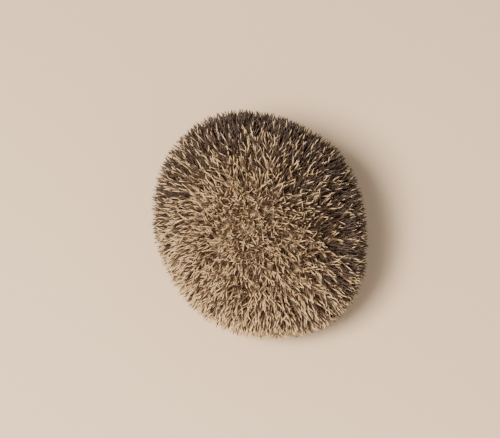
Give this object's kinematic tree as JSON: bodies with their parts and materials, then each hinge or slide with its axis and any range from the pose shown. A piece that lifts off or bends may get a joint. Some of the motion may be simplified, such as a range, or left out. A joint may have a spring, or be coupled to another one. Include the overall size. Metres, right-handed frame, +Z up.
{
  "type": "hedgehog",
  "caption": "Life-size still model of a hedgehog rolled into a ball on the floor, with its face and paws tucked in under the rim of the spiny mantle.",
  "frame": {"origin": "on the floor under the middle of the ball", "axes": "+Z up, -Y towards the animal's head, +X to the animal's left"},
  "size_m": [0.1398, 0.1612, 0.112],
  "materials": {
    "quills": "satin keratin spines, cream with dark brown bands",
    "face_fur": "short coarse brown fur",
    "belly_fur": "soft pale fur",
    "bare_skin": "bare dark skin",
    "nose_pad": "moist black",
    "eye": "glossy black"
  },
  "bodies": {
    "root": {"back": "quills", "crown": "quills", "rump": "quills", "flank_left": "quills", "flank_right": "quills", "trunk": "belly_fur", "shoulder_left": "belly_fur", "shoulder_right": "belly_fur", "head": "face_fur", "nose": "nose_pad", "ear_left": "bare_skin", "ear_right": "bare_skin", "eye_left": "eye", "eye_right": "eye", "foreleg_left": "face_fur", "foreleg_right": "face_fur", "hindleg_left": "face_fur", "hindleg_right": "face_fur", "tail": "bare_skin"}
  },
  "joints": []
}
